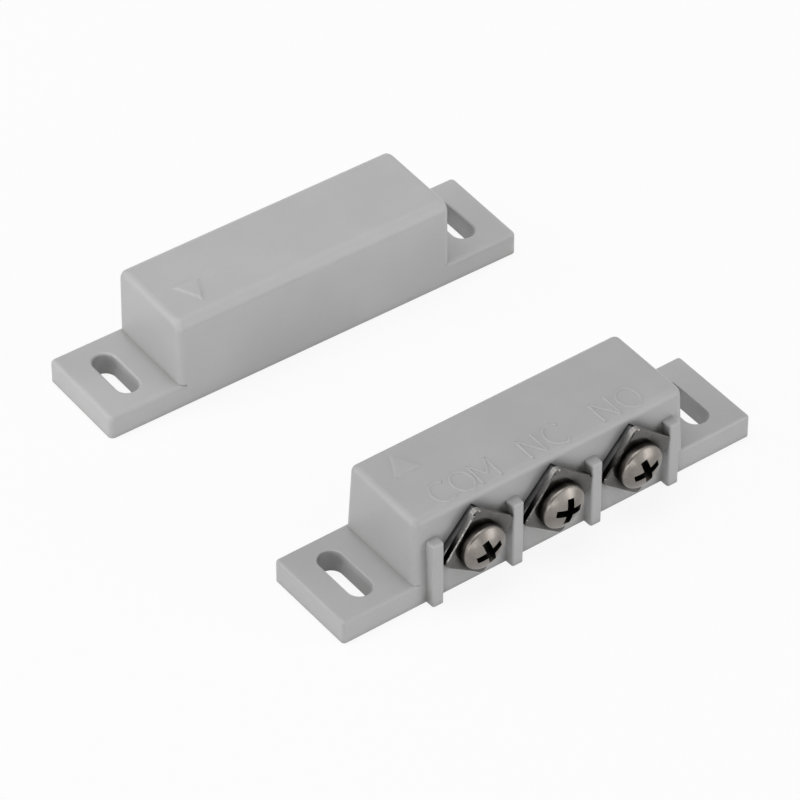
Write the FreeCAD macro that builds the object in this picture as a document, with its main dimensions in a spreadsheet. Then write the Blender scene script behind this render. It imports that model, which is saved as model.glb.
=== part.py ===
import FreeCAD, Part
import Sketcher
import math
import os

# Surface magnetic contact: a switch half with three screw terminals and a magnet half behind it.
# X runs along the halves, Y from the terminals towards the magnet half, Z up from the mounting faces.
# The origin is the middle of the switch half's mounting face.

doc = FreeCAD.newDocument("surface_magnetic_contact")
sheet = doc.addObject("Spreadsheet::Sheet", "sizes")

# Driving dimensions in millimetres and degrees
DIMENSIONS = [
    ("case_length", 63.7),
    ("case_width", 14.3),
    ("case_height", 13.5),
    ("flange_thickness", 3.4),
    ("body_length", 42.3),
    ("slot_shift", 0.15),
    ("roof_thickness", 1.8),
    ("wall_thickness", 1.6),
    ("terminal_wall", 3.1),
    ("resin_recess", 0.2),
    ("switch_side_draft", 2.4),
    ("switch_end_draft", 2.0),
    ("switch_top_radius", 1.1),
    ("switch_end_radius", 0.95),
    ("switch_corner_radius", 0.5),
    ("switch_flange_radius", 0.45),
    ("switch_slot_width", 3.4),
    ("switch_slot_length", 9.3),
    ("switch_slot_radius", 0.15),
    ("magnet_side_draft", 0.6),
    ("magnet_end_draft", 0.4),
    ("magnet_top_radius", 1.6),
    ("magnet_end_radius", 0.95),
    ("magnet_corner_radius", 0.7),
    ("magnet_flange_radius", 0.65),
    ("magnet_slot_width", 3.15),
    ("magnet_slot_length", 8.4),
    ("magnet_slot_radius", 0.35),
    ("magnet_offset_x", -1.57),
    ("magnet_offset_y", 46.88),
    ("magnet_turn", -1.15),
    ("magnet_bar_length", 32.0),
    ("magnet_bar_width", 8.0),
    ("magnet_bar_height", 8.0),
    ("magnet_bar_gap", 1.0),
    ("terminal_pitch", 12.25),
    ("terminal_level", 7.05),
    ("rib_tip_thickness", 1.65),
    ("rib_root_thickness", 1.85),
    ("rib_reach", 1.35),
    ("rib_level", 10.0),
    ("rib_tip_radius", 0.3),
    ("rib_root", 1.2),
    ("recess_depth", 0.9),
    ("recess_gap", 0.2),
    ("terminal_plate_side", 7.0),
    ("terminal_plate_thickness", 1.6),
    ("terminal_plate_chamfer", 0.2),
    ("bush_diameter", 5.0),
    ("bush_length", 2.9),
    ("bush_floor", 0.8),
    ("thread_diameter", 3.0),
    ("thread_clearance", 0.05),
    ("clamp_plate_length", 8.5),
    ("clamp_plate_width", 7.5),
    ("clamp_plate_thickness", 0.9),
    ("clamp_plate_corner", 0.9),
    ("clamp_plate_chamfer", 0.15),
    ("clamp_plate_lift", 0.25),
    ("clamp_hole_diameter", 3.6),
    ("clamp_turn_com", 9.0),
    ("clamp_turn_nc", 8.0),
    ("clamp_turn_no", 6.0),
    ("screw_head_diameter", 6.3),
    ("screw_head_height", 2.2),
    ("screw_dome_radius", 4.8),
    ("screw_shoulder_radius", 0.5),
    ("screw_length", 4.5),
    ("screw_tip_chamfer", 0.3),
    ("screw_turn_com", 18.0),
    ("screw_turn_nc", -10.0),
    ("screw_turn_no", 15.0),
    ("cross_span", 4.2),
    ("cross_arm", 1.05),
    ("cross_floor_span", 2.4),
    ("cross_floor_arm", 0.8),
    ("cross_depth", 1.7),
    ("reed_offset", 2.2),
    ("reed_glass_length", 14.0),
    ("reed_glass_diameter", 2.7),
    ("reed_glass_wall", 0.35),
    ("reed_seal_length", 2.0),
    ("reed_end_chamfer", 0.8),
    ("reed_lead_diameter", 0.5),
    ("reed_lead_spread", 0.45),
    ("reed_lead_inside", 1.0),
    ("reed_blade_width", 1.2),
    ("reed_blade_thickness", 0.2),
    ("reed_contact_overlap", 1.5),
    ("reed_contact_gap", 0.25),
    ("lead_bend_radius", 0.8),
    ("lead_stub", 1.6),
    ("jumper_reach", 1.6),
    ("jumper_setback", 3.3),
    ("jumper_sleeve_diameter", 0.9),
    ("jumper_sleeve_length", 8.0),
    ("solder_diameter", 1.5),
    ("solder_height", 0.7),
]
for row, (alias, value) in enumerate(DIMENSIONS, start=1):
    sheet.set(f"A{row}", alias)
    sheet.set(f"B{row}", str(value))
    sheet.setAlias(f"B{row}", alias)
doc.recompute()


class Size:
    """A size worked out from the sheet: its expression, which binds a property, and its value."""

    def __init__(self, text, value):
        self.text = text
        self.value = value

    @staticmethod
    def of(item):
        return item if isinstance(item, Size) else Size(repr(item), item)

    def __add__(self, other):
        other = Size.of(other)
        return Size(f"({self.text} + {other.text})", self.value + other.value)

    def __sub__(self, other):
        other = Size.of(other)
        return Size(f"({self.text} - {other.text})", self.value - other.value)

    def __mul__(self, factor):
        factor = Size.of(factor)
        return Size(f"({self.text} * {factor.text})", self.value * factor.value)

    def __truediv__(self, divisor):
        return Size(f"({self.text} / {divisor!r})", self.value / divisor)

    def __neg__(self):
        return Size(f"(-1 * {self.text})", -self.value)

    def tangent(self):
        return Size(f"tan({self.text})", math.tan(math.radians(self.value)))


def size(alias):
    return Size(f"sizes.{alias}", float(sheet.get(alias)))


ZERO = Size("0", 0.0)
FRONT = -(size("case_width") / 2)
BODY_END = size("body_length") / 2
SLOT_PLACE = (size("case_length") + size("body_length")) / 4 - size("slot_shift")
DRAFTED_HEIGHT = size("case_height") - size("flange_thickness")
POCKET_TOP = size("case_height") - size("roof_thickness")
POCKET_FRONT = FRONT + size("terminal_wall")
POCKET_BACK = -FRONT - size("wall_thickness") - DRAFTED_HEIGHT * size("switch_side_draft").tangent()
POCKET_END = BODY_END - size("wall_thickness") - DRAFTED_HEIGHT * size("switch_end_draft").tangent()
RECESS_FLOOR = FRONT + size("recess_depth")
TERMINAL_FACE = RECESS_FLOOR - size("terminal_plate_thickness")
CLAMP_FACE = TERMINAL_FACE - size("clamp_plate_thickness")
BUSH_END = RECESS_FLOOR + size("bush_length")
REED_LEVEL = size("terminal_level") - size("reed_lead_spread")
GLASS_END = size("reed_glass_length") / 2
SEAL_END = GLASS_END - size("reed_seal_length")
LEAD_START = SEAL_END - size("reed_lead_inside")
TERMINALS = {"com": -1, "nc": 0, "no": 1}


def bind(thing, path, amount):
    thing.setExpression(path, Size.of(amount).text)


def new_body(name, x=ZERO, y=ZERO, z=ZERO):
    """A body whose own origin lies at x, y, z."""
    body = doc.addObject("PartDesign::Body", name)
    for axis, amount in zip("xyz", (x, y, z)):
        bind(body, f"Placement.Base.{axis}", amount)
    return body


def lay_on_magnet_half(body):
    """Moves a body that is drawn about the magnet half's own middle to where that half lies."""
    bind(body, "Placement.Base.x", size("magnet_offset_x"))
    bind(body, "Placement.Base.y", size("magnet_offset_y"))
    body.Placement.Rotation.Axis = FreeCAD.Vector(0, 0, 1)
    bind(body, "Placement.Rotation.Angle", size("magnet_turn"))


def new_sketch(body, name, role="XY_Plane", offset=ZERO, turn=ZERO):
    """A sketch on one of the body's origin planes, moved along its normal and turned about it."""
    sketch = body.newObject("Sketcher::SketchObject", name)
    plane = [plane for plane in body.Origin.OriginFeatures if plane.Role == role][0]
    sketch.AttachmentSupport = (plane, [""])
    sketch.MapMode = "FlatFace"
    bind(sketch, "AttachmentOffset.Base.z", offset)
    bind(sketch, "AttachmentOffset.Rotation.Angle", turn)
    return sketch


def dimension(sketch, geometry, point, x, y):
    """Places a point of the sketch by its distances from the sketch's origin."""
    for kind, amount in (("DistanceX", x), ("DistanceY", y)):
        index = sketch.addConstraint(Sketcher.Constraint(kind, -1, 1, geometry, point, amount.value))
        bind(sketch, f"Constraints[{index}]", amount)


def measure(sketch, kind, geometry, amount):
    index = sketch.addConstraint(Sketcher.Constraint(kind, geometry, amount.value))
    bind(sketch, f"Constraints[{index}]", amount)


def add_outline(sketch, corners):
    """A closed outline of straight sides, each corner dimensioned."""
    points = [FreeCAD.Vector(x.value, y.value, 0) for x, y in corners]
    sides = [
        sketch.addGeometry(Part.LineSegment(start, end), False)
        for start, end in zip(points, points[1:] + points[:1])
    ]
    for side, following in zip(sides, sides[1:] + sides[:1]):
        sketch.addConstraint(Sketcher.Constraint("Coincident", side, 2, following, 1))
    for side, (x, y) in zip(sides, corners):
        dimension(sketch, side, 1, x, y)


def add_rectangle(sketch, left, right, near, far):
    add_outline(sketch, [(left, near), (right, near), (right, far), (left, far)])


def add_square(sketch, side, x=ZERO, y=ZERO):
    """A square about x, y that stands on one corner."""
    reach = side * math.sqrt(0.5)
    add_outline(sketch, [(x, y - reach), (x + reach, y), (x, y + reach), (x - reach, y)])


def add_circle(sketch, diameter, x=ZERO, y=ZERO):
    centre = FreeCAD.Vector(x.value, y.value, 0)
    round_line = Part.Circle(centre, FreeCAD.Vector(0, 0, 1), diameter.value / 2)
    circle = sketch.addGeometry(round_line, False)
    measure(sketch, "Diameter", circle, diameter)
    dimension(sketch, circle, 3, x, y)


def add_slot(sketch, width, length, x):
    """A slot about x that runs along the sketch's Y."""
    radius, reach = width / 2, (length - width) / 2
    up = FreeCAD.Vector(0, 0, 1)
    arcs = []
    for sign, start in ((1, 0.0), (-1, math.pi)):
        centre = FreeCAD.Vector(x.value, sign * reach.value, 0)
        curve = Part.ArcOfCircle(Part.Circle(centre, up, radius.value), start, start + math.pi)
        arc = sketch.addGeometry(curve, False)
        dimension(sketch, arc, 3, x, reach * sign)
        measure(sketch, "Radius", arc, radius)
        arcs.append(arc)
    for first, last, side in ((arcs[0], arcs[1], -1), (arcs[1], arcs[0], 1)):
        start = FreeCAD.Vector(x.value + side * radius.value, -side * reach.value, 0)
        end = FreeCAD.Vector(x.value + side * radius.value, side * reach.value, 0)
        line = sketch.addGeometry(Part.LineSegment(start, end), False)
        sketch.addConstraint(Sketcher.Constraint("Tangent", first, 2, line, 1))
        sketch.addConstraint(Sketcher.Constraint("Tangent", line, 2, last, 1))


def add_feature(body, kind, name, profile=None, **settings):
    """A feature on a sketch: settings that are sizes are bound, the others are set as they are."""
    feature = body.newObject(f"PartDesign::{kind}", name)
    if profile is not None:
        feature.Profile = profile
    for key, setting in settings.items():
        if isinstance(setting, Size):
            bind(feature, key, setting)
        else:
            setattr(feature, key, setting)
    doc.recompute()
    return feature


def edges(feature, wanted):
    """The names of the feature's edges whose middle passes the test."""
    return [
        f"Edge{number}"
        for number, edge in enumerate(feature.Shape.Edges, start=1)
        if wanted(edge.CenterOfMass, edge)
    ]


def faces(feature, wanted):
    """The names of the feature's faces whose middle passes the test."""
    return [
        f"Face{number}"
        for number, face in enumerate(feature.Shape.Faces, start=1)
        if wanted(face.CenterOfMass, face)
    ]


def near(value, amount, tolerance=0.02):
    return abs(value - amount.value) < tolerance


def round_edges(body, name, base, radius, wanted):
    return add_feature(body, "Fillet", name, Base=(base, edges(base, wanted)), Radius=radius)


# Case halves

def build_flange(half):
    """The plate with an ear at each end, rounded along its upper edge."""
    body = new_body(f"{half}_flange")
    reach, top = size("case_length") / 2, size("flange_thickness")
    outline = new_sketch(body, f"{half}_flange_outline")
    add_rectangle(outline, -reach, reach, FRONT, -FRONT)
    plate = add_feature(body, "Pad", f"{half}_flange_plate", outline, Length=top)
    corners = round_edges(
        body, f"{half}_flange_corners", plate, size(f"{half}_corner_radius"),
        lambda middle, edge: near(middle.z, top / 2),
    )
    round_edges(
        body, f"{half}_flange_rim", corners, size(f"{half}_flange_radius"),
        lambda middle, edge: near(middle.z, top),
    )
    return body


def draft_block(body, name, base, wanted):
    """Leans the wanted sides of the block inwards above its lower face."""
    sides = faces(base, lambda middle, face: wanted(middle) and abs(face.normalAt(0, 0).z) < 0.5)
    seat = faces(base, lambda middle, face: near(middle.z, size("flange_thickness")))
    return add_feature(body, "Draft", name, Base=(base, sides), NeutralPlane=(base, seat), Angle=size(name))


def build_case(half):
    """A case half: the drafted body with its rounded edges, joined to its flange, and the slots."""
    body = new_body(f"{half}_housing")
    top, height = size("flange_thickness"), size("case_height")
    outline = new_sketch(body, f"{half}_body_outline", offset=top)
    add_rectangle(outline, -BODY_END, BODY_END, FRONT, -FRONT)
    block = add_feature(body, "Pad", f"{half}_block", outline, Length=DRAFTED_HEIGHT)
    sides = draft_block(body, f"{half}_side_draft", block, lambda middle: near(abs(middle.y), -FRONT))
    ends = draft_block(body, f"{half}_end_draft", sides, lambda middle: near(abs(middle.x), BODY_END))
    long_edges = round_edges(
        body, f"{half}_top_edges", ends, size(f"{half}_top_radius"),
        lambda middle, edge: near(middle.z, height) and near(middle.x, ZERO),
    )
    innermost = BODY_END - DRAFTED_HEIGHT * size(f"{half}_end_draft").tangent()
    round_edges(
        body, f"{half}_end_edges", long_edges, size(f"{half}_end_radius"),
        lambda middle, edge: abs(middle.x) > innermost.value - 0.02 and middle.z > top.value + 0.02,
    )
    foot = new_sketch(body, f"{half}_foot_outline")
    foot_end = BODY_END - size(f"{half}_end_radius")
    add_rectangle(foot, -foot_end, foot_end, FRONT, -FRONT)
    add_feature(body, "Pad", f"{half}_foot", foot, Length=top)
    add_feature(body, "Boolean", f"{half}_join", Type="Fuse", Group=[build_flange(half)])
    slots = new_sketch(body, f"{half}_slot_outlines")
    width, length = size(f"{half}_slot_width"), size(f"{half}_slot_length")
    for side in (-1, 1):
        add_slot(slots, width, length, SLOT_PLACE * side)
    slotted = add_feature(body, "Pocket", f"{half}_slots", slots, Length=top, Reversed=True)
    round_edges(
        body, f"{half}_slot_rims", slotted, size(f"{half}_slot_radius"),
        lambda middle, edge: near(middle.z, top)
        and near(abs(middle.x), SLOT_PLACE, width.value)
        and abs(middle.y) < length.value / 2,
    )
    return body


def hollow(body, name, end, near_side, far_side):
    """The cavity behind the mounting face, up to the roof."""
    outline = new_sketch(body, f"{name}_outline")
    add_rectangle(outline, -end, end, near_side, far_side)
    return add_feature(body, "Pocket", name, outline, Length=POCKET_TOP, Reversed=True)


def build_switch_housing():
    """The switch half with its four ribs, the terminal recesses, the bush holes and the cavity."""
    body = build_case("switch")
    ribs = new_sketch(body, "rib_outlines")
    tip, root = size("rib_tip_thickness") / 2, size("rib_root_thickness") / 2
    tip_face, root_face = FRONT - size("rib_reach"), FRONT + size("rib_root")
    for place in (-1.5, -0.5, 0.5, 1.5):
        x = size("terminal_pitch") * place
        add_outline(ribs, [(x - tip, tip_face), (x + tip, tip_face), (x + root, root_face), (x - root, root_face)])
    ribbed = add_feature(body, "Pad", "ribs", ribs, Length=size("rib_level"))
    round_edges(
        body, "rib_edges", ribbed, size("rib_tip_radius"),
        lambda middle, edge: middle.y < FRONT.value - 0.1 and middle.z > 0.1
        and (near(middle.y, tip_face) or near(middle.z, size("rib_level"))),
    )
    recesses = new_sketch(body, "recess_outlines", "XZ_Plane", offset=-FRONT)
    holes = new_sketch(body, "bush_hole_outlines", "XZ_Plane", offset=-RECESS_FLOOR)
    for place in TERMINALS.values():
        x = size("terminal_pitch") * place
        side = size("terminal_plate_side") + size("recess_gap") * 2
        add_square(recesses, side, x, size("terminal_level"))
        add_circle(holes, size("bush_diameter"), x, size("terminal_level"))
    add_feature(body, "Pocket", "recesses", recesses, Length=size("recess_depth"))
    hollow(body, "switch_cavity", POCKET_END, POCKET_FRONT, POCKET_BACK)
    add_feature(body, "Pocket", "bush_holes", holes, Length=POCKET_FRONT - RECESS_FLOOR + 0.5)
    return body


def build_magnet_housing():
    """The magnet half, hollow for the bar magnet."""
    body = build_case("magnet")
    reach = size("magnet_bar_width") / 2 + size("magnet_bar_gap")
    hollow(body, "magnet_cavity", size("magnet_bar_length") / 2 + size("magnet_bar_gap"), -reach, reach)
    lay_on_magnet_half(body)
    return body


# Terminals

def build_terminal_plate(name, place):
    """The fixed plate in its recess, with the threaded bush that holds it in the wall."""
    body = new_body(f"terminal_plate_{name}", size("terminal_pitch") * place, RECESS_FLOOR, size("terminal_level"))
    square = new_sketch(body, f"terminal_square_{name}", "XZ_Plane")
    add_square(square, size("terminal_plate_side"))
    thickness = size("terminal_plate_thickness")
    plate = add_feature(body, "Pad", f"terminal_slab_{name}", square, Length=thickness)
    add_feature(
        body, "Chamfer", f"terminal_edges_{name}", Size=size("terminal_plate_chamfer"),
        Base=(plate, edges(plate, lambda middle, edge: near(middle.y, -thickness))),
    )
    circle = new_sketch(body, f"bush_circle_{name}", "XZ_Plane")
    add_circle(circle, size("bush_diameter"))
    add_feature(body, "Pad", f"bush_{name}", circle, Length=size("bush_length"), Reversed=True)
    bore = new_sketch(body, f"thread_circle_{name}", "XZ_Plane", offset=thickness)
    add_circle(bore, size("thread_diameter") + size("thread_clearance") * 2)
    depth = thickness + size("bush_length") - size("bush_floor")
    add_feature(body, "Pocket", f"thread_{name}", bore, Length=depth)
    return body


def build_clamp_plate(name, place):
    """The loose plate that the screw presses onto the wire, turned against the ribs."""
    level = size("terminal_level") + size("clamp_plate_lift")
    body = new_body(f"clamp_plate_{name}", size("terminal_pitch") * place, TERMINAL_FACE, level)
    turn = size(f"clamp_turn_{name}") + 45
    outline = new_sketch(body, f"clamp_outline_{name}", "XZ_Plane", turn=turn)
    reach, half = size("clamp_plate_length") / 2, size("clamp_plate_width") / 2
    add_rectangle(outline, -reach, reach, -half, half)
    add_circle(outline, size("clamp_hole_diameter"))
    thickness = size("clamp_plate_thickness")
    plate = add_feature(body, "Pad", f"clamp_slab_{name}", outline, Length=thickness)
    corners = round_edges(
        body, f"clamp_corners_{name}", plate, size("clamp_plate_corner"),
        lambda middle, edge: near(middle.y, -(thickness / 2)) and math.hypot(middle.x, middle.z) > 3,
    )
    add_feature(
        body, "Chamfer", f"clamp_edges_{name}", Size=size("clamp_plate_chamfer"),
        Base=(corners, edges(corners, lambda middle, edge: near(middle.y, -thickness)
                             and math.hypot(middle.x, middle.z) > 2)),
    )
    return body


def cross_corners(span, arm):
    """The twelve corners of a cross with the given span and arm width."""
    reach, half = span / 2, arm / 2
    corner = [(reach, -half), (reach, half), (half, half)]
    corners = []
    for _ in range(4):
        corners += corner
        corner = [(-y, x) for x, y in corner]
    return corners


def build_terminal_screw(name, place):
    """A pan head screw with a cross recess."""
    body = new_body(f"terminal_screw_{name}", size("terminal_pitch") * place, CLAMP_FACE, size("terminal_level"))
    head, thread, chamfer = size("screw_head_diameter") / 2, size("thread_diameter") / 2, size("screw_tip_chamfer")
    height, dome = size("screw_head_height"), size("screw_dome_radius")
    profile = new_sketch(body, f"screw_profile_{name}")
    shoulder = Size(
        f"({height.text} - {dome.text} + sqrt({dome.text}^2 - {head.text}^2))",
        height.value - dome.value + math.sqrt(dome.value**2 - head.value**2),
    )
    tip = size("screw_length")
    corners = [(ZERO, -height), (ZERO, tip), (thread - chamfer, tip), (thread, tip - chamfer), (thread, ZERO),
               (head, ZERO), (head, -shoulder)]
    points = [FreeCAD.Vector(x.value, y.value, 0) for x, y in corners]
    lines = [profile.addGeometry(Part.LineSegment(*ends), False) for ends in zip(points, points[1:])]
    for line, following in zip(lines, lines[1:]):
        profile.addConstraint(Sketcher.Constraint("Coincident", line, 2, following, 1))
    for line, (x, y) in zip(lines, corners):
        dimension(profile, line, 1, x, y)
    dimension(profile, lines[-1], 2, *corners[-1])
    middle = FreeCAD.Vector(0, dome.value - height.value, 0)
    curve = Part.Circle(middle, FreeCAD.Vector(0, 0, 1), dome.value)
    rim_angle = math.atan2(points[-1].y - middle.y, points[-1].x)
    arc = profile.addGeometry(Part.ArcOfCircle(curve, -math.pi / 2, rim_angle), False)
    profile.addConstraint(Sketcher.Constraint("Coincident", arc, 1, lines[0], 1))
    profile.addConstraint(Sketcher.Constraint("Coincident", arc, 2, lines[-1], 2))
    measure(profile, "Radius", arc, dome)
    turned = add_feature(
        body, "Revolution", f"screw_blank_{name}", profile, ReferenceAxis=(profile, ["V_Axis"]), Angle=360
    )
    rounded = round_edges(
        body, f"screw_shoulder_{name}", turned, size("screw_shoulder_radius"),
        lambda middle, edge: near(edge.BoundBox.XLength, head * 2) and near(edge.BoundBox.YMax, -shoulder),
    )
    turn = size(f"screw_turn_{name}")
    mouth = new_sketch(body, f"cross_mouth_{name}", "XZ_Plane", offset=height, turn=turn)
    add_outline(mouth, cross_corners(size("cross_span"), size("cross_arm")))
    floor = new_sketch(body, f"cross_floor_{name}", "XZ_Plane", offset=height - size("cross_depth"), turn=turn)
    add_outline(floor, cross_corners(size("cross_floor_span"), size("cross_floor_arm")))
    add_feature(body, "SubtractiveLoft", f"cross_{name}", mouth, Sections=[floor], Ruled=True)
    return body


# Reed switch and wiring

def build_reed_glass():
    """The glass tube, closed round its leads by a seal at each end."""
    body = new_body("reed_glass", ZERO, size("reed_offset"), REED_LEVEL)
    profile = new_sketch(body, "glass_profile", "XZ_Plane")
    outer = size("reed_glass_diameter") / 2
    inner = outer - size("reed_glass_wall")
    add_outline(profile, [
        (-GLASS_END, ZERO), (-SEAL_END, ZERO), (-SEAL_END, inner), (SEAL_END, inner),
        (SEAL_END, ZERO), (GLASS_END, ZERO), (GLASS_END, outer), (-GLASS_END, outer),
    ])
    tube = add_feature(body, "Revolution", "glass_tube", profile, ReferenceAxis=(profile, ["H_Axis"]), Angle=360)
    add_feature(
        body, "Chamfer", "glass_ends", Size=size("reed_end_chamfer"),
        Base=(tube, edges(tube, lambda middle, edge: near(edge.BoundBox.ZLength, outer * 2)
                          and near(edge.BoundBox.XLength, ZERO))),
    )
    spread = size("reed_lead_spread")
    for side, levels in (("common", [ZERO]), ("contact", [spread, -spread])):
        face = GLASS_END if side == "contact" else -GLASS_END
        holes = new_sketch(body, f"{side}_lead_holes", "YZ_Plane", offset=face)
        for level in levels:
            add_circle(holes, size("reed_lead_diameter"), ZERO, level)
        length = size("reed_seal_length")
        add_feature(body, "Pocket", f"{side}_seal", holes, Length=length, Reversed=side == "common")
    return body


def add_wire(body, name, corners):
    """A round wire along X and Y through the corners, bent to the lead radius at each of them."""
    radius = size("lead_bend_radius")
    route = new_sketch(body, f"{name}_route")
    spots = [FreeCAD.Vector(x.value, y.value, 0) for x, y in corners]
    legs = []
    for number, (spot, following) in enumerate(zip(spots, spots[1:])):
        along = (following - spot).normalize()
        start = spot + along * (radius.value if number else 0)
        end = following - along * (radius.value if number + 2 < len(spots) else 0)
        leg = route.addGeometry(Part.LineSegment(start, end), False)
        level = abs(along.y) < 0.5
        if len(spots) > 2:
            route.addConstraint(Sketcher.Constraint("Horizontal" if level else "Vertical", leg))
        legs.append((leg, start, end, along, level))
    for (leg, _, end, _, _), (following, start, _, turned, _) in zip(legs, legs[1:]):
        centre = end + turned * radius.value
        middle = centre + ((end - centre) + (start - centre)).normalize() * radius.value
        arc = route.addGeometry(Part.Arc(end, middle, start), False)
        first = 1 if route.getPoint(arc, 1).distanceToPoint(end) < 0.01 else 2
        route.addConstraint(Sketcher.Constraint("Tangent", leg, 2, arc, first))
        route.addConstraint(Sketcher.Constraint("Tangent", arc, 3 - first, following, 1))
        measure(route, "Radius", arc, radius)
    dimension(route, legs[0][0], 1, *corners[0])
    dimension(route, legs[-1][0], 2, *corners[-1])
    for (leg, _, _, _, level), (x, y) in list(zip(legs, corners))[1:-1]:
        kind, amount = ("DistanceY", y) if level else ("DistanceX", x)
        index = route.addConstraint(Sketcher.Constraint(kind, -1, 1, leg, 1, amount.value))
        bind(route, f"Constraints[{index}]", amount)
    section = new_sketch(body, f"{name}_section", "YZ_Plane", offset=corners[0][0])
    add_circle(section, size("reed_lead_diameter"), corners[0][1], ZERO)
    doc.recompute()
    spine = [f"Edge{number + 1}" for number in range(len(route.Shape.Edges))]
    return add_feature(body, "AdditivePipe", name, section, Spine=(route, spine))


def add_solder(body, name, x, y):
    """The cone of solder that joins a wire's end to the bush."""
    circle = new_sketch(body, f"{name}_outline", "XZ_Plane", offset=-y)
    add_circle(circle, size("solder_diameter"), x, ZERO)
    top = new_sketch(body, f"{name}_top", "XZ_Plane", offset=-y - size("solder_height"))
    add_circle(top, size("reed_lead_diameter") * 1.2, x, ZERO)
    return add_feature(body, "AdditiveLoft", name, circle, Sections=[top], Ruled=True)


def build_reed_blade(name, side, level, gap, end):
    """A reed lead with its flattened blade inside the glass: side is -1 to the left, 1 to the right."""
    body = new_body(f"reed_blade_{name}", ZERO, size("reed_offset"), REED_LEVEL + level)
    corners = [(LEAD_START * side, ZERO)] + end
    add_wire(body, f"lead_{name}", corners)
    if len(end) > 1:
        add_solder(body, f"solder_{name}", *end[-1])
    blade = new_sketch(body, f"blade_outline_{name}", offset=gap)
    reach, tip = size("reed_blade_width") / 2, size("reed_contact_overlap") / 2
    root = SEAL_END - size("reed_lead_inside") / 2
    left, right = (-root, tip) if side < 0 else (-tip, root)
    add_rectangle(blade, left, right, -reach, reach)
    add_feature(body, "Pad", f"blade_{name}", blade, Length=size("reed_blade_thickness"))
    return body


def build_jumper():
    """The wire from the normally closed lead round the glass to the middle bush."""
    body = new_body("jumper_nc", ZERO, size("reed_offset"), REED_LEVEL - size("reed_lead_spread"))
    start = GLASS_END + size("lead_stub")
    turn, setback = start + size("jumper_reach"), -size("jumper_setback")
    end = BUSH_END - size("reed_offset")
    corners = [(start, ZERO), (turn, ZERO), (turn, setback), (ZERO, setback), (ZERO, end)]
    add_wire(body, "jumper_wire", corners)
    add_solder(body, "jumper_solder", ZERO, end)
    return body


def build_jumper_sleeve():
    """The insulating sleeve on the straight middle of the jumper wire."""
    body = new_body("jumper_sleeve", ZERO, size("reed_offset"), REED_LEVEL - size("reed_lead_spread"))
    middle, length = (GLASS_END + size("lead_stub") + size("jumper_reach")) / 2, size("jumper_sleeve_length")
    ring = new_sketch(body, "sleeve_ring", "YZ_Plane", offset=middle - length / 2)
    for diameter in (size("jumper_sleeve_diameter"), size("reed_lead_diameter")):
        add_circle(ring, diameter, -size("jumper_setback"), ZERO)
    add_feature(body, "Pad", "sleeve", ring, Length=length)
    return body


def build_reed_blades():
    """The common blade from the left, and the two contact blades from the right."""
    thickness, spread = size("reed_blade_thickness"), size("reed_lead_spread")
    to_bush = BUSH_END - size("reed_offset")
    across = size("terminal_pitch")
    return [
        build_reed_blade("com", -1, ZERO, -thickness / 2, [(-across, ZERO), (-across, to_bush)]),
        build_reed_blade("nc", 1, -spread, spread - thickness * 1.5, [(GLASS_END + size("lead_stub"), ZERO)]),
        build_reed_blade("no", 1, spread, thickness / 2 + size("reed_contact_gap") - spread,
                         [(across, ZERO), (across, to_bush)]),
    ]


# Magnet and resin

def add_bar_outline(sketch, margin=ZERO):
    reach, half = size("magnet_bar_length") / 2 + margin, size("magnet_bar_width") / 2 + margin
    add_rectangle(sketch, -reach, reach, -half, half)


def build_bar_magnet():
    """The bar magnet, against the roof of its cavity."""
    body = new_body("bar_magnet")
    outline = new_sketch(body, "bar_outline", offset=POCKET_TOP - size("magnet_bar_height"))
    add_bar_outline(outline)
    add_feature(body, "Pad", "bar", outline, Length=size("magnet_bar_height"))
    lay_on_magnet_half(body)
    return body


def build_magnet_potting():
    """The resin round the bar magnet, a little short of the mounting face."""
    body = new_body("magnet_potting")
    outline = new_sketch(body, "magnet_resin_outline", offset=size("resin_recess"))
    add_bar_outline(outline, size("magnet_bar_gap"))
    add_feature(body, "Pad", "magnet_resin", outline, Length=POCKET_TOP - size("resin_recess"))
    seat = new_sketch(body, "magnet_seat_outline", offset=POCKET_TOP)
    add_bar_outline(seat)
    add_feature(body, "Pocket", "magnet_seat", seat, Length=size("magnet_bar_height"))
    lay_on_magnet_half(body)
    return body


def build_switch_potting(contents):
    """The resin round the bushes, the wires and the glass with the air in it."""
    fill = doc.addObject("Part::Box", "switch_resin")
    recess = size("resin_recess")
    sides = (("Length", POCKET_END * 2), ("Width", POCKET_BACK - POCKET_FRONT), ("Height", POCKET_TOP - recess))
    for key, amount in sides:
        bind(fill, key, amount)
    for axis, amount in zip("xyz", (-POCKET_END, POCKET_FRONT, recess)):
        bind(fill, f"Placement.Base.{axis}", amount)
    air = doc.addObject("Part::Cylinder", "reed_air")
    bind(air, "Radius", size("reed_glass_diameter") / 2 - size("reed_glass_wall"))
    bind(air, "Height", SEAL_END * 2)
    air.Placement.Rotation = FreeCAD.Rotation(FreeCAD.Vector(0, 1, 0), 90)
    for axis, amount in zip("xyz", (-SEAL_END, size("reed_offset"), REED_LEVEL)):
        bind(air, f"Placement.Base.{axis}", amount)
    inside = doc.addObject("Part::MultiFuse", "switch_contents")
    inside.Shapes = [air, *contents]
    potting = doc.addObject("Part::Cut", "switch_potting")
    potting.Base, potting.Tool = fill, inside
    doc.recompute()
    return potting


terminal_plates = [build_terminal_plate(name, place) for name, place in TERMINALS.items()]
wiring = [build_reed_glass(), *build_reed_blades(), build_jumper(), build_jumper_sleeve()]
pieces = [
    build_switch_housing(),
    build_switch_potting(terminal_plates + wiring),
    *terminal_plates,
    *(build_clamp_plate(name, place) for name, place in TERMINALS.items()),
    *(build_terminal_screw(name, place) for name, place in TERMINALS.items()),
    *wiring,
    build_magnet_housing(),
    build_bar_magnet(),
    build_magnet_potting(),
]
doc.recompute()

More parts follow.
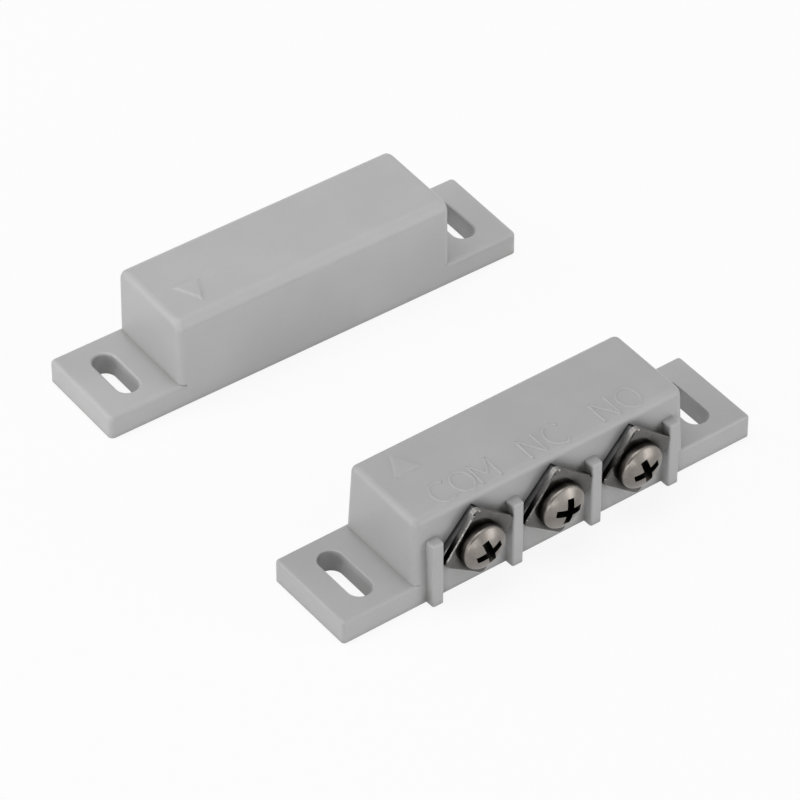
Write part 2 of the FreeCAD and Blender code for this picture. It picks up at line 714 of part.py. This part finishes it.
for thing in doc.Objects:
    if "Invalid" in thing.State or "Error" in thing.State:
        raise RuntimeError(f"{thing.Name} failed: {thing.State}")
for piece in pieces:
    if piece.Shape.isNull() or not piece.Shape.isValid() or len(piece.Shape.Solids) != 1:
        raise RuntimeError(f"{piece.Name} is not one sound solid")

os.makedirs("parts", exist_ok=True)
for piece in pieces:
    piece.Label = piece.Name
    piece.Shape.exportStep(f"parts/{piece.Label}.step")
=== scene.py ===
import math

import bmesh
import bpy
from mathutils import Matrix, Vector


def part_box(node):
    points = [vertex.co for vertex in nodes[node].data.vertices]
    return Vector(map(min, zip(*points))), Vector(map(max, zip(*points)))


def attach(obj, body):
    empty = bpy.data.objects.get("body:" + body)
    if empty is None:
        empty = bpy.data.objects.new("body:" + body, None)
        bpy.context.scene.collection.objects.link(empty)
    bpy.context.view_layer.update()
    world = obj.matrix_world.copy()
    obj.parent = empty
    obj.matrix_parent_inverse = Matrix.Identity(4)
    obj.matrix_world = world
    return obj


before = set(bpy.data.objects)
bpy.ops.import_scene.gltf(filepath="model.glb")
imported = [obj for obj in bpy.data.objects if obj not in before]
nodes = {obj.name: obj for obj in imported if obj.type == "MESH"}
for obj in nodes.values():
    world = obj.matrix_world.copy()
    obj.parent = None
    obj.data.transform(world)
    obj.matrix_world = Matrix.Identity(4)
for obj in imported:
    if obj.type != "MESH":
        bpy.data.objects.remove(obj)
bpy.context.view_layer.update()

# Switch half's housing
# One injection moulding in light grey ABS, with a fine matt skin from the spark-eroded tool.
# The four ribs keep the wires of neighbouring terminals apart.
MM = 0.001


class Shade:
    """A socket of a finish: an expression on it adds its Math nodes."""

    def __init__(self, finish, socket):
        self.finish = finish
        self.socket = socket

    def math(self, operation, first, second=None):
        inputs = {0: first} if second is None else {0: first, 1: second}
        return self.finish.node("ShaderNodeMath", {"operation": operation}, inputs)

    def __add__(self, other):
        return self.math("ADD", self, other)

    __radd__ = __add__

    def __rsub__(self, other):
        return self.math("SUBTRACT", other, self)

    def __mul__(self, other):
        return self.math("MULTIPLY", self, other)

    def between(self, low, high):
        """0 below low, 1 above high, with a soft step from one to the other."""
        settings = {"interpolation_type": "SMOOTHSTEP"}
        inputs = {"Value": self, "From Min": low, "From Max": high}
        return self.finish.node("ShaderNodeMapRange", settings, inputs)


class Finish:
    """The surface of one kind of piece."""

    def __init__(self, name):
        self.material = bpy.data.materials.new(name)
        self.material.use_nodes = True
        self.tree = self.material.node_tree
        self.tree.nodes.clear()
        self.shader = self.tree.nodes.new("ShaderNodeBsdfPrincipled")
        output = self.tree.nodes.new("ShaderNodeOutputMaterial")
        self.tree.links.new(self.shader.outputs[0], output.inputs["Surface"])

    def plug(self, socket, value):
        if isinstance(value, Shade):
            self.tree.links.new(value.socket, socket)
        else:
            socket.default_value = value

    def node(self, kind, settings=None, inputs=None, output=0):
        made = self.tree.nodes.new(kind)
        for key, setting in (settings or {}).items():
            setattr(made, key, setting)
        for key, value in (inputs or {}).items():
            self.plug(made.inputs[key], value)
        return Shade(self, made.outputs[output])

    def place(self):
        """A point of the surface in millimetres."""
        where = self.node("ShaderNodeTexCoord", output="Object")
        to_mm = (1 / MM, 1 / MM, 1 / MM)
        return self.node("ShaderNodeVectorMath", {"operation": "MULTIPLY"}, {0: where, 1: to_mm})

    def noise(self, size, detail=3.0, roughness=0.55):
        """Noise from 0 to 1 whose spots are about size millimetres across."""
        inputs = {"Vector": self.place(), "Scale": 1 / size, "Detail": detail, "Roughness": roughness}
        return self.node("ShaderNodeTexNoise", None, inputs)

    def mix(self, factor, first, second):
        return self.node("ShaderNodeMix", {"data_type": "RGBA"}, {0: factor, 6: first, 7: second}, 2)

    def bump(self, height, depth, base=None):
        """The surface raised by depth millimetres where height is 1."""
        inputs = {"Height": height, "Distance": depth * MM, "Strength": 1.0}
        if base:
            inputs["Normal"] = base
        return self.node("ShaderNodeBump", None, inputs)

    def hollow_shade(self, reach, low, high):
        """Painted shade mask: 1 where less than low of the view over reach millimetres is open, 0 where more
        than high is.
        """
        rays = {"samples": 8}
        open_air = self.node("ShaderNodeAmbientOcclusion", rays, {"Distance": reach * MM}, "AO")
        return 1 - open_air.between(low, high)

    def set(self, **values):
        for key, value in values.items():
            title = key.replace("_", " ").title().replace("Ior", "IOR")
            self.plug(self.shader.inputs[title], value)
        return self.material


def grey(level, warmth=0.0):
    """A linear colour from a display level of 0 to 255, warmer or cooler by a few levels."""
    channels = (level + warmth, level, level - warmth)
    return tuple((channel / 255) ** 2.2 for channel in channels) + (1.0,)


def moulded_plastic(name, level):
    """ABS from the tool: a fine even grain, faint flow clouds, handling dust and painted shade in corners
    and creases.
    """
    finish = Finish(name)
    clouds = finish.noise(9.0, 3.0).between(0.3, 0.7)
    specks = finish.noise(0.16, 2.0).between(0.35, 0.75)
    # Painted shade: darker where corners and creases keep light out.
    crease_shade = finish.hollow_shade(2.0, 0.3, 0.8)
    speck_share, crease_shade_share = 0.35, 0.45
    colour = finish.mix(clouds, grey(level - 2.5), grey(level + 2.0))
    colour = finish.mix(specks * speck_share, colour, grey(level - 9))
    colour = finish.mix(crease_shade * crease_shade_share, colour, grey(level - 70, 3))
    grain = finish.noise(0.11, 2.0)
    sink = finish.noise(7.0, 1.0)
    relief = finish.bump(grain, 0.004, finish.bump(sink, 0.03))
    return finish.set(base_color=colour, roughness=0.36 + clouds * 0.06 + specks * 0.05, normal=relief)


def dress(name, material):
    """Gives a solid its material."""
    piece = nodes[name]
    piece.data.materials.clear()
    piece.data.materials.append(material)


switch_plastic = moulded_plastic("switch_plastic", 167)
dress("switch_housing", switch_plastic)

# Marks on the switch half
# The names of the contacts and the arrow that points at the magnet half are cut into the tool,
# so they stand out of the roof by a fraction of a millimetre, in the same plastic.
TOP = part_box("switch_housing")[1][2]
LETTER_HEIGHT = 3.7 * MM
LETTER_FOOT = -5.9 * MM
STROKE = 0.25 * MM
STROKE_DEPTH = 0.48 * STROKE


def ellipse(width, height, start, end, steps=36):
    """Points on an ellipse of that size, between two angles in degrees."""
    points = []
    for step in range(steps + 1):
        angle = math.radians(start + (end - start) * step / steps)
        points.append((width / 2 * (1 + math.cos(angle)), height / 2 * (1 + math.sin(angle))))
    return points


def soft_corners(crease_shade, radius=0.25 * MM, steps=6):
    """A bent line whose inner corners are rounded off."""
    points = [crease_shade[0]]
    for before, corner, after in zip(crease_shade, crease_shade[1:], crease_shade[2:]):
        here = Vector(corner)
        start = here + (Vector(before) - here).normalized() * radius
        end = here + (Vector(after) - here).normalized() * radius
        for step in range(steps + 1):
            part = step / steps
            points.append(tuple(start.lerp(here, part).lerp(here.lerp(end, part), part)))
    return points + [crease_shade[-1]]


def letter_line(letter, width, height):
    """The line that a cutter follows to write the letter."""
    if letter == "C":
        return ellipse(width * 1.12, height, 48, 312)
    if letter == "O":
        return ellipse(width, height, 0, 360)
    if letter == "N":
        return soft_corners([(0, 0), (0, height), (width, 0), (width, height)])
    return soft_corners([(0, 0), (0, height), (width / 2, height * 0.3), (width, height), (width, 0)])


def raised_word(name, letters, material):
    """Letters as round ridges half sunk in the roof. Each comes with its left and right side in mm."""
    curve = bpy.data.curves.new(name, "CURVE")
    curve.dimensions = "3D"
    curve.bevel_depth = STROKE
    curve.bevel_resolution = 3
    curve.use_fill_caps = True
    for letter, left, right in letters:
        line = letter_line(letter, (right - left) * MM, LETTER_HEIGHT)
        spline = curve.splines.new("POLY")
        spline.points.add(len(line) - 1)
        for point, (x, y) in zip(spline.points, line):
            point.co = (left * MM + x, LETTER_FOOT + y, TOP - STROKE_DEPTH, 1)
    word = bpy.data.objects.new(name, curve)
    bpy.context.collection.objects.link(word)
    word.data.materials.append(material)
    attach(word, "root")


COM = [("C", -16.1, -13.5), ("O", -12.9, -10.1), ("M", -9.6, -6.8)]
NC = [("N", -2.0, 0.3), ("C", 1.4, 4.2)]
NO = [("N", 9.3, 11.8), ("O", 12.8, 15.7)]
raised_word("mark_com", COM, switch_plastic)
raised_word("mark_nc", NC, switch_plastic)
raised_word("mark_no", NO, switch_plastic)


def raised_arrow(name, crease_shade, material, shift=(0, 0), turn=0.0):
    """A low triangular plateau on the roof, whose sides slope and flatten towards the top."""
    rise, slope, sink = 0.26 * MM, 0.36 * MM, 0.1 * MM
    shoulder = (TOP + rise * 0.8, slope * 0.5)
    centre = Vector((sum(x for x, y in crease_shade) / 3, sum(y for x, y in crease_shade) / 3)) * MM
    mesh = bmesh.new()
    rings = []
    for level, inset in ((TOP - sink, 0.0), (TOP, 0.0), shoulder, (TOP + rise, slope)):
        ring = []
        for x, y in crease_shade:
            spot = Vector((x, y)) * MM
            # A corner of such a triangle moves in by about twice the inset of its sides.
            spot += (centre - spot).normalized() * inset * 2
            spot.rotate(Matrix.Rotation(math.radians(turn), 2))
            ring.append(mesh.verts.new((spot.x + shift[0], spot.y + shift[1], level)))
        rings.append(ring)
    for lower, upper in zip(rings, rings[1:]):
        for side in range(3):
            following = (side + 1) % 3
            mesh.faces.new((lower[side], lower[following], upper[following], upper[side]))
    mesh.faces.new(rings[-1])
    mesh.faces.new(rings[0][::-1])
    bmesh.ops.recalc_face_normals(mesh, faces=mesh.faces)
    data = bpy.data.meshes.new(name)
    mesh.to_mesh(data)
    mesh.free()
    data.materials.append(material)
    arrow = bpy.data.objects.new(name, data)
    bpy.context.collection.objects.link(arrow)
    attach(arrow, "root")


raised_arrow(
    "mark_switch_arrow", [(-17.9, 1.1), (-13.8, 1.1), (-15.9, 5.0)], switch_plastic,
)

# Terminal hardware
# Each terminal is a fixed nickel-plated plate in a square recess, a loose punched clamp plate over
# it and an M3 cross recess screw. The plating has dulled. Painted shade darkens the metal round the
# heads and in the crosses, and a painted highlight lightens the clamp plates' cut sides.


def plated_metal(name, level, warmth, roughness, painted_shade=0.0, side_highlight_level=None):
    """Plating with clouds and scuffs, painted shade in its hollows and a painted highlight of a level of its
    own on its cut sides.
    """
    finish = Finish(name)
    clouds = finish.noise(1.6, 4.0).between(0.25, 0.75)
    scuffs = finish.noise(0.25, 5.0, 0.7).between(0.45, 0.75)
    colour = finish.mix(clouds, grey(level - 10, warmth), grey(level + 6, warmth))
    colour = finish.mix(scuffs * 0.4, colour, grey(level - 30, warmth * 0.5))
    if side_highlight_level:
        # Painted highlight: the face of a plate looks along Y, and its cut sides, which look across it, get
        # a lighter level of their own.
        normal = finish.node("ShaderNodeTexCoord", output="Normal")
        along = finish.node("ShaderNodeSeparateXYZ", None, {0: normal}, 1)
        side = 1 - along.math("ABSOLUTE", along).between(0.2, 0.6)
        colour = finish.mix(side, colour, grey(side_highlight_level, warmth))
        roughness = roughness + side * 0.25
    if painted_shade:
        # Painted shade: dark in the hollows, round the heads, on their shoulders and in the crosses; on the
        # clamp plates it also stands in for the heads' dark reflection.
        painted_shade_colour = grey(22, 2)
        colour = finish.mix(finish.hollow_shade(2.4, 0.6, 0.98) * painted_shade, colour, painted_shade_colour)
    relief = finish.bump(finish.noise(0.5, 4.0), 0.008)
    roughness = roughness + clouds * 0.08 + scuffs * 0.12
    return finish.set(base_color=colour, metallic=1.0, roughness=roughness, normal=relief)


terminal_metal = plated_metal("terminal_metal", 138, -1, 0.35)
# Painted shade on the clamp plates and screws, and a painted highlight on the clamp plates' cut sides.
clamp_metal = plated_metal("clamp_metal", 100, 2, 0.08, painted_shade=1.0, side_highlight_level=128)
screw_metal = plated_metal("screw_metal", 124, 5, 0.32, painted_shade=0.93)
for contact in ("com", "nc", "no"):
    dress(f"terminal_plate_{contact}", terminal_metal)
    dress(f"clamp_plate_{contact}", clamp_metal)
    dress(f"terminal_screw_{contact}", screw_metal)

# Reed switch and wiring
# A glass tube with nickel-iron blades, wired to the bushes with their leads and one sleeved jumper
# of tinned wire. All of it lies in the resin and shows only where the resin is taken away.
glass = Finish("reed_glass")
tint = glass.mix(glass.noise(2.0).between(0.3, 0.7), (0.86, 0.95, 0.9, 1), (0.92, 0.97, 0.95, 1))
dress("reed_glass", glass.set(base_color=tint, roughness=0.04, transmission_weight=1.0, ior=1.5))
reed_metal = plated_metal("reed_metal", 190, 1, 0.25)
for contact in ("com", "nc", "no"):
    dress(f"reed_blade_{contact}", reed_metal)
dress("jumper_nc", plated_metal("tinned_wire", 205, 0, 0.3))
sleeving = Finish("sleeving")
weave = sleeving.noise(0.3).between(0.3, 0.7)
sleeve_colour = sleeving.mix(weave, grey(205, 12), grey(222, 10))
dress("jumper_sleeve", sleeving.set(base_color=sleeve_colour, roughness=0.6 + weave * 0.1))

# Resin
# Black epoxy is poured in behind the parts and levels itself. It sets glossy, with a slight swell
# and a few pin holes from bubbles.


def cast_resin():
    """Glossy black resin whose pin holes are small pits."""
    finish = Finish("cast_resin")
    swell = finish.noise(12.0, 2.0)
    pits = finish.node("ShaderNodeTexVoronoi", {"feature": "F1"}, {"Vector": finish.place(), "Scale": 0.35})
    hole = 1 - pits.between(0.05, 0.16)
    colour = finish.mix(finish.noise(3.0).between(0.3, 0.7), grey(34), grey(46, -1))
    relief = finish.bump(hole, -0.12, finish.bump(swell, 0.2))
    return finish.set(base_color=colour, roughness=0.18 + swell * 0.15 + hole * 0.3, normal=relief)


resin = cast_resin()
dress("switch_potting", resin)
dress("magnet_potting", resin)

# Magnet half
# The same kind of moulding in a slightly lighter batch of plastic, with rounder edges and an arrow
# that points at the switch half. The resin holds a ferrite bar in its pocket.
MAGNET_TURN = -1.15
magnet_plastic = moulded_plastic("magnet_plastic", 178)
dress("magnet_housing", magnet_plastic)
ferrite = Finish("ferrite")
grit = ferrite.noise(0.2, 4.0).between(0.3, 0.7)
ferrite_colour = ferrite.mix(grit, grey(48), grey(64))
dress("bar_magnet", ferrite.set(base_color=ferrite_colour, roughness=0.55 + grit * 0.2))
magnet_low, magnet_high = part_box("magnet_housing")
magnet_middle = [(low + high) / 2 for low, high in zip(magnet_low, magnet_high)]
raised_arrow(
    "mark_magnet_arrow", [(-17.8, -0.4), (-13.8, -0.7), (-15.7, -4.6)], magnet_plastic,
    shift=magnet_middle[:2], turn=MAGNET_TURN,
)

# Floor, light and camera
# A white sheet under the parts, a pale surround, seven soft lamps and a black cloth behind the camera
# for the metal to reflect. The long lens looks down on the pair from the front left.
FLOOR_REACH = 1.5
FLOOR_WHITE_SHARE = 0.88
SURROUND_LIGHT = 0.33
CLOTH_REACH = 0.35


def shown_rays(tree):
    """1 for rays that show the surround as it looks, also in metal and glass, and 0 for those that light."""
    path = tree.nodes.new("ShaderNodeLightPath")
    shown = path.outputs["Is Camera Ray"]
    for kind in ("Is Glossy Ray", "Is Transmission Ray"):
        either = tree.nodes.new("ShaderNodeMath")
        either.operation = "MAXIMUM"
        tree.links.new(shown, either.inputs[0])
        tree.links.new(path.outputs[kind], either.inputs[1])
        shown = either.outputs[0]
    return shown


def floor_material():
    """White paper that keeps a little of the parts' shadow, and looks white where it's seen."""
    material = bpy.data.materials.new("white_floor")
    material.use_nodes = True
    tree = material.node_tree
    tree.nodes.clear()
    lit = tree.nodes.new("ShaderNodeBsdfDiffuse")
    lit.inputs["Color"].default_value = (0.9, 0.9, 0.9, 1)
    plain = tree.nodes.new("ShaderNodeEmission")
    plain.inputs["Color"].default_value = (1, 1, 1, 1)
    blend = tree.nodes.new("ShaderNodeMixShader")
    share = tree.nodes.new("ShaderNodeMath")
    share.operation = "MULTIPLY"
    share.inputs[1].default_value = FLOOR_WHITE_SHARE
    tree.links.new(shown_rays(tree), share.inputs[0])
    tree.links.new(share.outputs[0], blend.inputs[0])
    tree.links.new(lit.outputs[0], blend.inputs[1])
    tree.links.new(plain.outputs[0], blend.inputs[2])
    output = tree.nodes.new("ShaderNodeOutputMaterial")
    tree.links.new(blend.outputs[0], output.inputs["Surface"])
    return material


def flat_sheet(name, reach, height, material):
    """A square sheet that reaches that many metres from its middle to each side."""
    crease_shade = [(-reach, -reach), (reach, -reach), (reach, reach), (-reach, reach)]
    data = bpy.data.meshes.new(name)
    data.from_pydata([(x, y, height) for x, y in crease_shade], [], [(0, 1, 2, 3)])
    data.materials.append(material)
    sheet = bpy.data.objects.new(name, data)
    bpy.context.collection.objects.link(sheet)
    return sheet


floor = flat_sheet("floor", FLOOR_REACH, -0.0001, floor_material())

world = bpy.data.worlds.new("surround")
bpy.context.scene.world = world
world.use_nodes = True
sky = world.node_tree.nodes["Background"]
sky.inputs["Color"].default_value = (1, 1, 1, 1)
sky_strength = world.node_tree.nodes.new("ShaderNodeMapRange")
sky_strength.inputs["To Min"].default_value = SURROUND_LIGHT
sky_strength.inputs["To Max"].default_value = 1.0
world.node_tree.links.new(shown_rays(world.node_tree), sky_strength.inputs["Value"])
world.node_tree.links.new(sky_strength.outputs[0], sky.inputs["Strength"])

object_middle = Vector((0.0, 0.022, 0.006))


def soft_lamp(name, place, size, power):
    """A soft box that faces the parts. Its place and size are in metres, its power in watts."""
    lamp = bpy.data.lights.new(name, "AREA")
    lamp.shape = "RECTANGLE"
    lamp.size, lamp.size_y = size
    lamp.energy = power
    stand = bpy.data.objects.new(name, lamp)
    stand.location = place
    stand.rotation_euler = (object_middle - Vector(place)).to_track_quat("-Z", "Y").to_euler()
    bpy.context.collection.objects.link(stand)


soft_lamp("top_lamp", (-0.1, 0.15, 0.9), (0.7, 0.7), 3.95)
soft_lamp("left_lamp", (-0.7, 0.62, 0.47), (0.4, 0.3), 1.2)
soft_lamp("low_left_lamp", (-0.95, 0.25, 0.25), (0.5, 0.35), 2.3)
soft_lamp("low_corner_lamp", (-0.78, -0.65, 0.1), (0.3, 0.2), 1.6)
soft_lamp("right_lamp", (0.75, -0.6, 0.5), (0.4, 0.5), 1.6)
soft_lamp("low_front_lamp", (-0.33, -0.95, 0.14), (0.4, 0.26), 1.15)
soft_lamp("low_right_lamp", (0.6, -0.85, 0.15), (0.4, 0.3), 1.8)

black_cloth = bpy.data.materials.new("black_cloth")
black_cloth.use_nodes = True
cloth_shader = black_cloth.node_tree.nodes["Principled BSDF"]
cloth_shader.inputs["Base Color"].default_value = (0.01, 0.01, 0.01, 1)
cloth_shader.inputs["Roughness"].default_value = 1.0
curtain = flat_sheet("curtain", CLOTH_REACH, 0.0, black_cloth)
curtain.location = (-0.66, -0.62, 0.5)
curtain.rotation_euler = (object_middle - curtain.location).to_track_quat("-Z", "Y").to_euler()

camera_data = bpy.data.cameras.new("camera")
camera_data.lens = 242.7
camera_data.sensor_width = 36.0
camera = bpy.data.objects.new("camera", camera_data)
camera.location = Vector((-306.63, -388.69, 457.44)) * MM
camera_aim = Vector((5.88, 32.11, -8.25)) * MM
camera.rotation_euler = (camera_aim - camera.location).to_track_quat("-Z", "Y").to_euler()
bpy.context.collection.objects.link(camera)
bpy.context.scene.camera = camera
bpy.context.scene.view_settings.view_transform = "Standard"
